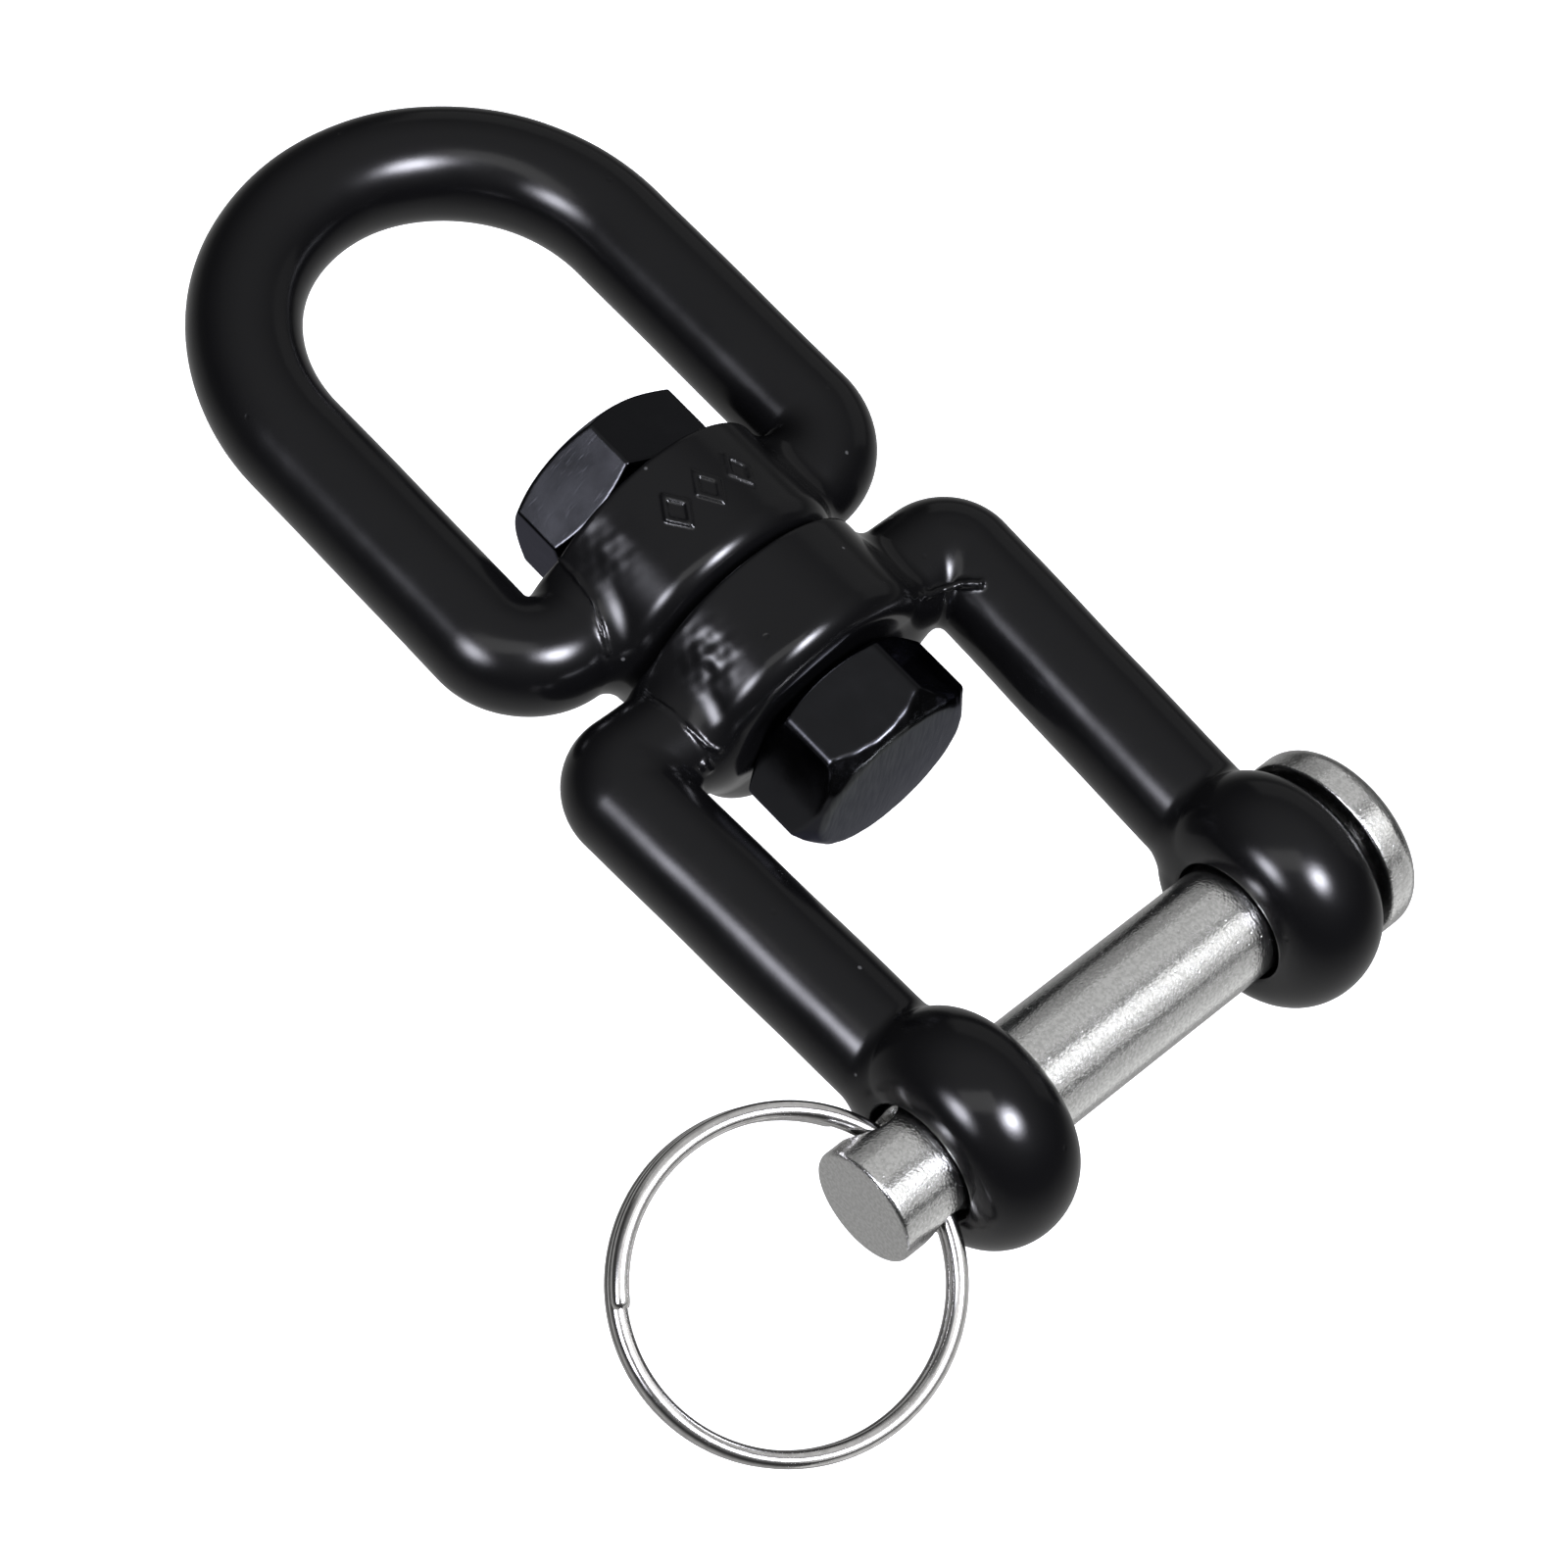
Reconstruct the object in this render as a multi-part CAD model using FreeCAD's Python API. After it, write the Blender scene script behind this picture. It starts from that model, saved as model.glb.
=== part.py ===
import FreeCAD, Part
import math
import os

from FreeCAD import Vector

# Eye and jaw swivel, M8 size. Millimetres.
# Row frame: origin at the centre of the eye's bow, +X along the swivel axis from the eye to the jaw,
# +Y towards the clevis pin's head, +Z up, square to the plane of the eye and the jaw.

# --- driving dimensions ---------------------------------------------------------------------------
PIN_D = 8.0                 # clevis pin and swivel bolt shank
HEX_AF = 13.0               # across flats of the bolt head and of the nut

BAR_D = 7.7                 # round bar of the eye and of the jaw's arms
BAR_ROOT_Y = 5.5            # the bars run this close to the swivel axis inside the bosses
EYE_BOW_R = 14.2            # bow centreline radius, and half the distance between the legs
EYE_SHOULDER_X = 22.2       # centreline of the eye's shoulders
EYE_CORNER_R = 3.7          # centreline radius of the eye's corners
EYE_BOSS_X0 = 18.5          # eye boss, face under the nut
EYE_BOSS_X1 = 27.5          # eye boss, face next to the jaw
EYE_BOSS_D = 18.2
BOSS_ROUND = 1.9            # big rounding on each boss's jaw-side rim
BOSS_EDGE = 0.35            # small rounding on each boss's eye-side rim
BOSS_BORE_D = PIN_D + 0.16  # running clearance on the bolt shank
OVERSHOOT = 1.0             # cutting tools run this far past the faces they cut
OVERLAP = 0.5               # how far joined solids of one piece run into each other

JAW_BOSS_X0 = 27.9
JAW_BOSS_X1 = 35.65
JAW_BOSS_D = 18.6
JAW_SHOULDER_X = 31.75
JAW_CORNER_R = 1.5
JAW_ARM_Y0 = 14.8           # arm centreline at the shoulder
ARM_STOP = 2.0              # the arms end this far short of the pin axis, inside the ears
EAR_X = 63.2                # clevis pin axis
EAR_Y = 13.65               # middle of each ear
EAR_D = 16.2
EAR_HALF_T = 3.95           # half thickness of an ear at the bore
EAR_FLAT_R = 4.9            # flat annulus round the bore
EAR_BORE_D = 8.6
EAR_BORE_ROUND = 0.4

HEAD_X0 = 36.0              # bolt head bearing face
HEAD_X1 = 42.25             # bolt head end face
HEAD_END_R = 5.95           # end face radius, a 45 degree chamfer leads to the corners
HEAD_WASHER_R = 6.2
HEAD_DOME = 0.3
HEAD_TURN = 16.0            # a head corner's angle from +Y towards +Z
NUT_X0 = 12.85
NUT_X1 = 18.0
NUT_END_R = 6.2
NUT_TURN = 43.4
NUT_SINK = 0.45             # countersink at both ends of the nut's thread
BOLT_END_X = 12.2
BOLT_END_CHAMFER = 0.6
HEX_CHAMFER = 30.0
HEAD_CHAMFER = 45.0

PIN_FREE_Y = -22.4
PIN_HEAD_Y0 = 18.0
PIN_HEAD_Y1 = 21.0
PIN_HEAD_D = 13.2
PIN_HEAD_ROUND = 1.0
PIN_HEAD_EDGE = 0.2
PIN_END_ROUND = 0.35
CROSS_HOLE_Y = -18.6
CROSS_HOLE_D = 3.8
CROSS_HOLE_TURN = 20.0      # the cross-hole dips this far below +X at rest

RING_R = 10.5               # wire centreline radius
RING_WIRE_D = 1.15
RING_PITCH = 1.17
RING_TILT = 13.0            # the ring hangs this far below the cross-hole's level
RING_YAW = 6.0              # the ring lies skewed in the oversize hole
RING_SIDE = 0.55            # keeps the wire centred in the cross-hole
RING_START = 31.0           # lower wire end, degrees past the cross-hole
RING_TURNS = 2.32
RING_STEPS = 58             # points the coil's centreline is drawn through

X = Vector(1, 0, 0)
Y = Vector(0, 1, 0)
Z = Vector(0, 0, 1)


def circle_wire(centre, normal, radius):
    return Part.Wire([Part.makeCircle(radius, centre, normal)])


def straight(start, end):
    """Straight run of round bar."""
    run = end - start
    return Part.makeCylinder(BAR_D / 2, run.Length, start, run)


def bend(start, centre, angle):
    """Run of round bar bent about the Z axis through the centre, from the start point."""
    outward = start - centre
    reach = outward.Length
    outward.normalize()
    r = BAR_D / 2
    tip = start + outward * r
    if reach > r:
        section = Part.Face(circle_wire(start, outward.cross(Z), r))
    else:
        half = Z * math.sqrt(r ** 2 - reach ** 2)
        rim = Part.Arc(centre - half, tip, centre + half).toShape()
        edges = [rim, Part.makeLine(centre + half, centre - half)]
        section = Part.Face(Part.Wire(edges))
    return section.revolve(centre, Z, angle)


def fuse_all(shapes):
    body = shapes[0]
    for shape in shapes[1:]:
        body = body.fuse(shape)
    return body


def revolve_profile(points, axis_point, axis):
    wire = Part.makePolygon(points + [points[0]])
    return Part.Face(wire).revolve(axis_point, axis, 360)


def edges_at(shape, test):
    return [edge for edge in shape.Edges if test(edge)]


def is_circle_at(edge, axis_name, level, radius):
    curve = edge.Curve
    if not isinstance(curve, Part.Circle):
        return False
    place = getattr(curve.Center, axis_name)
    return abs(place - level) < 0.01 and abs(curve.Radius - radius) < 0.01


def boss(x0, x1, diameter):
    """Round boss on the swivel axis: crisp rim on the eye side, big rounding on the jaw side."""
    body = Part.makeCylinder(diameter / 2, x1 - x0, Vector(x0, 0, 0), X)
    crisp = edges_at(body, lambda e: is_circle_at(e, "x", x0, diameter / 2))
    body = body.makeFillet(BOSS_EDGE, crisp)
    soft = edges_at(body, lambda e: is_circle_at(e, "x", x1, diameter / 2))
    return body.makeFillet(BOSS_ROUND, soft)


def bore_x(x0, x1, diameter):
    start = Vector(x0 - OVERSHOOT, 0, 0)
    return Part.makeCylinder(diameter / 2, x1 - x0 + 2 * OVERSHOOT, start, X)


def make_eye():
    y = EYE_BOW_R
    c = EYE_CORNER_R
    xs = EYE_SHOULDER_X
    pieces = [boss(EYE_BOSS_X0, EYE_BOSS_X1, EYE_BOSS_D)]
    pieces.append(bend(Vector(0, -y, 0), Vector(0, 0, 0), -180))
    for side in (-1, 1):
        shoulder = Vector(xs, side * (y - c), 0)
        pieces.append(straight(Vector(xs, side * BAR_ROOT_Y, 0), shoulder))
        pieces.append(bend(shoulder, Vector(xs - c, side * (y - c), 0), side * 90))
        pieces.append(straight(Vector(xs - c, side * y, 0), Vector(0, side * y, 0)))
    body = fuse_all(pieces)
    return body.cut(bore_x(EYE_BOSS_X0, EYE_BOSS_X1, BOSS_BORE_D)).removeSplitter()


def ear_blank(side):
    """Thick disc on the pin axis: an elliptical rim round a flat annulus on both faces."""
    t = EAR_HALF_T
    centre = Vector(EAR_X, side * EAR_Y, 0)
    hub = centre + Vector(EAR_FLAT_R, 0, 0)
    top = hub + Vector(0, t, 0)
    bottom = hub - Vector(0, t, 0)
    ellipse = Part.Ellipse(top, centre + Vector(EAR_D / 2, 0, 0), hub)
    rim = Part.ArcOfEllipse(ellipse, 0, math.pi).toShape()
    if rim.CenterOfMass.x < hub.x:
        rim = Part.ArcOfEllipse(ellipse, math.pi, 2 * math.pi).toShape()
    outline = Part.Wire(Part.sortEdges([
        Part.makeLine(centre + Vector(0, -t, 0), centre + Vector(0, t, 0)),
        Part.makeLine(centre + Vector(0, t, 0), top),
        rim,
        Part.makeLine(bottom, centre + Vector(0, -t, 0)),
    ])[0])
    return Part.Face(outline).revolve(centre, Y, 360)


def ear_bore(side):
    """Tool that bores one ear for the pin and leaves a small chamfer at both mouths."""
    low = side * EAR_Y - EAR_HALF_T
    high = side * EAR_Y + EAR_HALF_T
    r = EAR_BORE_D / 2
    mouth = r + EAR_BORE_ROUND + OVERSHOOT
    points = [
        Vector(EAR_X, low - OVERSHOOT, 0),
        Vector(EAR_X + mouth, low - OVERSHOOT, 0),
        Vector(EAR_X + r, low + EAR_BORE_ROUND, 0),
        Vector(EAR_X + r, high - EAR_BORE_ROUND, 0),
        Vector(EAR_X + mouth, high + OVERSHOOT, 0),
        Vector(EAR_X, high + OVERSHOOT, 0),
    ]
    return revolve_profile(points, Vector(EAR_X, 0, 0), Y)


def make_jaw():
    c = JAW_CORNER_R
    xs = JAW_SHOULDER_X
    lean = math.atan((JAW_ARM_Y0 - EAR_Y) / (EAR_X - xs - c))
    turn = 90 - math.degrees(lean)
    pieces = [boss(JAW_BOSS_X0, JAW_BOSS_X1, JAW_BOSS_D)]
    for side in (-1, 1):
        shoulder = Vector(xs, side * (JAW_ARM_Y0 - c), 0)
        centre = shoulder + Vector(c, 0, 0)
        swing = math.radians(turn)
        arm_start = centre + Vector(-c * math.cos(swing), side * c * math.sin(swing), 0)
        along = Vector(math.cos(lean), -side * math.sin(lean), 0)
        reach = (EAR_X - ARM_STOP - arm_start.x) / along.x
        pieces.append(straight(Vector(xs, side * BAR_ROOT_Y, 0), shoulder))
        pieces.append(bend(shoulder, centre, -side * turn))
        pieces.append(straight(arm_start, arm_start + along * reach))
        pieces.append(ear_blank(side))
    body = fuse_all(pieces)
    body = body.cut(bore_x(JAW_BOSS_X0, JAW_BOSS_X1, BOSS_BORE_D))
    for side in (-1, 1):
        body = body.cut(ear_bore(side))
    return body.removeSplitter()


def hexagon(x0, x1, turn):
    corner = HEX_AF / math.sqrt(3)
    points = []
    for k in range(7):
        a = math.radians(turn + 60 * k)
        points.append(Vector(x0, corner * math.cos(a), corner * math.sin(a)))
    return Part.Face(Part.makePolygon(points)).extrude(Vector(x1 - x0, 0, 0))


def end_cone(x_end, inward, end_radius, slope_deg):
    """Solid of revolution that keeps what lies inside a chamfer starting at end_radius on x_end."""
    rise = math.tan(math.radians(slope_deg))
    wide = HEX_AF * 0.7
    x_wide = x_end + inward * (wide - end_radius) * rise
    far = x_end + inward * 2 * HEX_AF
    points = [Vector(x_end, 0, 0), Vector(x_end, 0, end_radius), Vector(x_wide, 0, wide),
              Vector(far, 0, wide), Vector(far, 0, 0)]
    return revolve_profile(points, Vector(0, 0, 0), X)


def make_bolt():
    head = hexagon(HEAD_X0, HEAD_X1, HEAD_TURN)
    head = head.common(end_cone(HEAD_X0, 1, HEAD_WASHER_R, HEX_CHAMFER))
    head = head.common(end_cone(HEAD_X1, -1, HEAD_END_R, HEAD_CHAMFER))
    dome_r = (HEAD_END_R ** 2 + HEAD_DOME ** 2) / (2 * HEAD_DOME)
    ball = Part.makeSphere(dome_r, Vector(HEAD_X1 + HEAD_DOME - dome_r, 0, 0))
    slab = Part.makeCylinder(HEAD_END_R, 2 * OVERLAP, Vector(HEAD_X1 - OVERLAP, 0, 0), X)
    head = head.fuse(slab.common(ball))
    r = PIN_D / 2
    points = [Vector(BOLT_END_X, 0, 0), Vector(BOLT_END_X, 0, r - BOLT_END_CHAMFER),
              Vector(BOLT_END_X + BOLT_END_CHAMFER, 0, r), Vector(HEAD_X0 + OVERLAP, 0, r),
              Vector(HEAD_X0 + OVERLAP, 0, 0)]
    shank = revolve_profile(points, Vector(0, 0, 0), X)
    return head.fuse(shank).removeSplitter()


def make_nut():
    body = hexagon(NUT_X0, NUT_X1, NUT_TURN)
    body = body.common(end_cone(NUT_X0, 1, NUT_END_R, HEX_CHAMFER))
    body = body.common(end_cone(NUT_X1, -1, NUT_END_R, HEX_CHAMFER))
    r = PIN_D / 2
    mouth = r + NUT_SINK
    points = [
        Vector(NUT_X0 - OVERSHOOT, 0, 0),
        Vector(NUT_X0 - OVERSHOOT, 0, mouth),
        Vector(NUT_X0, 0, mouth),
        Vector(NUT_X0 + NUT_SINK, 0, r),
        Vector(NUT_X1 - NUT_SINK, 0, r),
        Vector(NUT_X1, 0, mouth),
        Vector(NUT_X1 + OVERSHOOT, 0, mouth),
        Vector(NUT_X1 + OVERSHOOT, 0, 0),
    ]
    return body.cut(revolve_profile(points, Vector(0, 0, 0), X))


def make_pin():
    length = PIN_HEAD_Y0 + OVERLAP - PIN_FREE_Y
    shaft = Part.makeCylinder(PIN_D / 2, length, Vector(EAR_X, PIN_FREE_Y, 0), Y)
    rim = edges_at(shaft, lambda e: is_circle_at(e, "y", PIN_FREE_Y, PIN_D / 2))
    shaft = shaft.makeFillet(PIN_END_ROUND, rim)
    r = PIN_HEAD_D / 2
    head = Part.makeCylinder(r, PIN_HEAD_Y1 - PIN_HEAD_Y0, Vector(EAR_X, PIN_HEAD_Y0, 0), Y)
    outer = edges_at(head, lambda e: is_circle_at(e, "y", PIN_HEAD_Y1, r))
    head = head.makeFillet(PIN_HEAD_ROUND, outer)
    inner = edges_at(head, lambda e: is_circle_at(e, "y", PIN_HEAD_Y0, r))
    head = head.makeFillet(PIN_HEAD_EDGE, inner)
    body = shaft.fuse(head)
    dip = math.radians(CROSS_HOLE_TURN)
    along = Vector(math.cos(dip), 0, -math.sin(dip))
    start = Vector(EAR_X, CROSS_HOLE_Y, 0) - along * PIN_D
    hole = Part.makeCylinder(CROSS_HOLE_D / 2, 2 * PIN_D, start, along)
    return body.cut(hole).removeSplitter()


def make_ring():
    """Wire coil built flat with its crossing point at the origin, then laid into the cross-hole."""
    height = RING_PITCH * RING_TURNS
    points = []
    for k in range(RING_STEPS + 1):
        a = 2 * math.pi * RING_TURNS * k / RING_STEPS
        points.append(Vector(RING_R * math.cos(a), RING_R * math.sin(a), height * k / RING_STEPS))
    curve = Part.BSplineCurve()
    curve.interpolate(points)
    path = curve.toShape()
    profile = circle_wire(points[0], path.tangentAt(path.FirstParameter), RING_WIRE_D / 2)
    sweep = Part.BRepOffsetAPI.MakePipeShell(Part.Wire([path]))
    sweep.setBiNormalMode(Z)
    sweep.add(profile)
    sweep.build()
    sweep.makeSolid()
    coil = sweep.shape()
    # the wire passes the cross-hole at heights -pitch/2 and +pitch/2
    first_pass = (360.0 - RING_START) / 360.0 * RING_PITCH
    coil.translate(Vector(0, 0, -first_pass - RING_PITCH / 2))
    coil.rotate(Vector(0, 0, 0), Z, 90 + RING_START)
    coil.translate(Vector(0, -RING_R, 0))
    coil.rotate(Vector(0, 0, 0), Z, RING_YAW)
    coil.translate(Vector(0, RING_SIDE, 0))
    coil.rotate(Vector(0, 0, 0), X, RING_TILT)
    coil.rotate(Vector(0, 0, 0), Y, CROSS_HOLE_TURN)
    coil.translate(Vector(EAR_X, CROSS_HOLE_Y, 0))
    return coil


NODES = {
    "eye": make_eye,
    "jaw": make_jaw,
    "swivel_bolt": make_bolt,
    "swivel_nut": make_nut,
    "clevis_pin": make_pin,
    "split_ring": make_ring,
}

os.makedirs("parts", exist_ok=True)
for name, make in NODES.items():
    shape = make()
    if shape.ShapeType == "Compound" and len(shape.Solids) == 1:
        shape = shape.Solids[0]
    print(name, shape.ShapeType, shape.isValid(), len(shape.Solids), round(shape.Volume, 1),
          shape.BoundBox)
    shape.exportStep("parts/%s.step" % name)
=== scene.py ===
import math

import bpy
import numpy as np
from mathutils import Matrix, Vector


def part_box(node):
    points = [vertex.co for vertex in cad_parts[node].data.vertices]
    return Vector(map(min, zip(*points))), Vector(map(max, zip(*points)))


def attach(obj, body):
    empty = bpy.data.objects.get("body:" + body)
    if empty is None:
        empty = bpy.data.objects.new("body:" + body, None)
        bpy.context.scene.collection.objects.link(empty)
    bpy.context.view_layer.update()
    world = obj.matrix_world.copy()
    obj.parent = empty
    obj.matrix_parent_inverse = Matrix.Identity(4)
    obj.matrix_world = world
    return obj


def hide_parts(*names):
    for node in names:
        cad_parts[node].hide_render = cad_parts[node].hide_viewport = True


# Looks of an M8 eye and jaw swivel. Castings and fasteners are distance fields in millimetres,
# meshed at their zero level, so that fillets, seams, dents and the mark are part of the shape.

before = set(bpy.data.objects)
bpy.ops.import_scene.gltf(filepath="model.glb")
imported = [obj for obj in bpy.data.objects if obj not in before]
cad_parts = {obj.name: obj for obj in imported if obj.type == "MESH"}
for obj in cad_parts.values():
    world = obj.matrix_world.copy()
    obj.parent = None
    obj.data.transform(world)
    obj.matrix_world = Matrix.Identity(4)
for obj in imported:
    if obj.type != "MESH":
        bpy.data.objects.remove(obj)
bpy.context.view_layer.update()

MM = 0.001                        # the fields are in millimetres, Blender is in metres

# --- sizes, the same as the CAD nodes' ---------------------------------------------------------
BAR_R = 3.85
EYE_BOW_R = 14.2
EYE_CORNER_R = 3.7
EYE_SHOULDER_X = 22.2
EYE_BOSS = (18.5, 27.5, 9.1)      # nut-side face, jaw-side face, radius
JAW_BOSS = (27.9, 35.65, 9.3)     # eye-side face, head-side face, radius
BOSS_ROUND = 1.9
BOSS_EDGE = 0.35
BORE_R = 4.08
BAR_ROOT_Y = 5.5

JAW_CORNER_R = 1.5
JAW_SHOULDER_X = 31.75
JAW_ARM_Y0 = 14.8
ARM_STOP = 2.0
EAR_X = 63.2
EAR_Y = 13.65
EAR_R = 8.1
EAR_HALF_T = 3.95
EAR_BORE_R = 4.3

SHANK_R = 4.0
HEX_HALF_AF = 6.5
HEX_CHAMFER = 30.0
HEAD_CHAMFER = 45.0
HEAD_X = (36.0, 42.25)
HEAD_END_R = 5.95
HEAD_WASHER_R = 6.2
HEAD_DOME = 0.3
HEAD_TURN = 16.0
NUT_X = (12.85, 18.0)
NUT_END_R = 6.2
NUT_TURN = 43.4
BOLT_END_X = 12.2
BOLT_END_CHAMFER = 0.6
THREAD_PITCH = 1.25
THREAD_DEPTH = 0.6

PIN_FREE_Y = -22.4
PIN_HEAD_Y = (18.0, 21.0)
PIN_HEAD_R = 6.6
CROSS_HOLE_Y = -18.6
CROSS_HOLE_R = 1.9
CROSS_HOLE_TURN = 20.0

RING_R = 10.5
RING_WIRE_R = 0.575
RING_PITCH = 1.17
RING_TILT = 13.0
RING_YAW = 6.0
RING_SIDE = 0.55
RING_START = 31.0
RING_TURNS = 2.32

# --- details of the surfaces -------------------------------------------------------------------
WAVINESS = 0.03                   # how far the castings stray from their nominal shape
EAR_FACE_R = 4.9                  # flat face round each pin bore
MARK_X = 22.45
MARK_TURNS = (-15.5, 1.0, 18.5)   # places of the three lozenges round the eye's boss
MARK_HALF = (1.3, 0.85)           # half a lozenge along the axis and round the boss
MARK_STROKE = 0.2
MARK_FILLET = 0.08
CAST_FILLET = 1.5                 # where the bars run into the bosses
EAR_FILLET = 0.55
ARM_FILLET = 0.6                  # inside of the jaw's corners
BORE_EDGE = 0.3
EAR_BORE_EDGE = 0.2
PIN_HEAD_ROUND = 1.6              # outer rim of the clevis pin's head
SEAM_R = 0.13
LUMP_R = 0.25
LIP_R = 0.26

# seams of mould flash, through points on the castings
EYE_SEAM = [(18.6, -8.25, 3.75), (20.3, -8.45, 4.15), (22.3, -8.75, 4.2), (24.0, -9.35, 3.65),
            (25.3, -9.75, 2.5)]
JAW_SEAM = [(28.9, -10.0, 2.7), (30.0, -10.3, 3.6), (31.3, -10.15, 3.85), (33.0, -10.0, 3.7),
            (34.4, -9.6, 3.05), (35.0, -9.0, 2.7)]
JAW_LUMP = [(34.95, -10.2, 2.1), (35.2, -9.95, 1.6)]
JAW_LIP = [(34.6, 8.9, 3.15), (34.85, 10.6, 2.6), (35.4, 11.9, 2.9), (36.3, 12.6, 3.4)]

# patches roughened by the mould: centre, reach and height of the lumps
EYE_PATCH = ((20.8, -6.95, 5.95), 3.2, 0.022)
JAW_PATCH = ((30.6, -6.9, 6.2), 3.0, 0.045)


# --- distance fields ---------------------------------------------------------------------------
def length(*parts):
    total = parts[0] * parts[0]
    for part in parts[1:]:
        total = total + part * part
    return np.sqrt(total)


def join(a, b, fillet):
    """Union with a concave fillet of that radius."""
    u = np.maximum(fillet - a, 0.0)
    v = np.maximum(fillet - b, 0.0)
    return np.maximum(fillet, np.minimum(a, b)) - length(u, v)


def meet(a, b, rounding):
    """Intersection with its edge rounded to that radius."""
    return -join(-a, -b, rounding)


def cut(a, b, rounding):
    """a without b, with the new edge rounded to that radius."""
    return -join(-a, b, rounding)


def rounded_box(u, v, half_u, half_v, radius):
    qu = np.abs(u) - half_u + radius
    qv = np.abs(v) - half_v + radius
    outside = length(np.maximum(qu, 0.0), np.maximum(qv, 0.0))
    return outside + np.minimum(np.maximum(qu, qv), 0.0) - radius


def segment(x, y, z, start, end):
    """Distance from the line between two points."""
    run = [b - a for a, b in zip(start, end)]
    px = x - start[0]
    py = y - start[1]
    pz = z - start[2]
    t = (px * run[0] + py * run[1] + pz * run[2]) / sum(r * r for r in run)
    t = np.clip(t, 0.0, 1.0)
    return length(px - t * run[0], py - t * run[1], pz - t * run[2])


def path(x, y, z, points):
    """Distance from the line through several points."""
    nearest = segment(x, y, z, points[0], points[1])
    for start, end in zip(points[1:-1], points[2:]):
        nearest = np.minimum(nearest, segment(x, y, z, start, end))
    return nearest


def uneven(x, y, z, spacing):
    """Smooth bumps from -1 to 1, about that far apart."""
    k = 2 * math.pi / spacing
    waves = np.sin(k * (x + 0.7 * y)) + np.sin(k * (1.3 * y - 0.4 * z)) + np.sin(k * (0.9 * z - 0.6 * x))
    return waves / 3


def seam(body, x, y, z, points, radius):
    """Adds a raised, slightly bumpy line."""
    bumpy = radius * (1 + 0.25 * uneven(x, y, z, 1.1))
    return join(body, path(x, y, z, points) - bumpy, radius)


def roughened(body, x, y, z, patch):
    """Roughens a patch of the surface with soft irregular lumps."""
    centre, reach, height = patch
    away = length(x - centre[0], y - centre[1], z - centre[2]) / reach
    strength = np.clip(1.5 - 1.5 * away, 0.0, 1.0)
    lumps = uneven(x, y, z, 2.9) + uneven(y, z, x, 1.9) + 0.5 * uneven(z, x, y, 1.1)
    return body + height * strength * lumps


def boss(x, y, z, size):
    x0, x1, radius = size
    middle = (x0 + x1) / 2
    rim = np.where(x > middle, BOSS_ROUND, BOSS_EDGE)
    return rounded_box(x - middle, length(y, z), (x1 - x0) / 2, radius, rim)


def swivel_bore(x, y, z, size):
    x0, x1, _ = size
    past_the_ends = np.abs(x - (x0 + x1) / 2) - (x1 - x0) / 2 - 2.0
    return np.maximum(length(y, z) - BORE_R, past_the_ends)


def raised_mark(x, y, z):
    """Three hollow lozenges standing out of the eye's boss."""
    radius = EYE_BOSS[2]
    half_x, half_s = MARK_HALF
    slant = 1 / math.hypot(1 / half_x, 1 / half_s)
    turn = np.arctan2(y, z)
    across = None
    for place in MARK_TURNS:
        s = (turn - math.radians(place)) * radius
        outline = np.abs(np.abs(x - MARK_X) / half_x + np.abs(s) / half_s - 1) * slant
        across = outline if across is None else np.minimum(across, outline)
    return length(across, length(y, z) - radius) - MARK_STROKE


def eye_field(x, y, z):
    r = EYE_BOW_R
    c = EYE_CORNER_R
    side = np.abs(y)
    bow = np.abs(length(x, y) - r)
    leg = length(np.clip(x, 0.0, EYE_SHOULDER_X - c) - x, side - r)
    dx = x - (EYE_SHOULDER_X - c)
    dy = side - (r - c)
    corner = np.where((dx > 0) & (dy > 0), np.abs(length(dx, dy) - c), 1e3)
    shoulder = length(x - EYE_SHOULDER_X, side - np.clip(side, BAR_ROOT_Y, r - c))
    line = np.where(x < 0, bow, np.minimum(np.minimum(leg, corner), shoulder))
    body = length(line, z) - BAR_R
    body = join(body, boss(x, y, z, EYE_BOSS), CAST_FILLET)
    body = body + WAVINESS * uneven(x, y, z, 11.0)
    body = roughened(body, x, y, z, EYE_PATCH)
    body = seam(body, x, y, z, EYE_SEAM, SEAM_R)
    body = join(body, raised_mark(x, y, z), MARK_FILLET)
    return cut(body, swivel_bore(x, y, z, EYE_BOSS), BORE_EDGE)


def ear(x, y, z, side):
    rim = EAR_R - EAR_FACE_R
    across = (y - side * EAR_Y) / EAR_HALF_T
    reach = np.maximum(length(x - EAR_X, z) - EAR_FACE_R, 0.0) / rim
    return (length(across, reach) - 1) * rim


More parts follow.
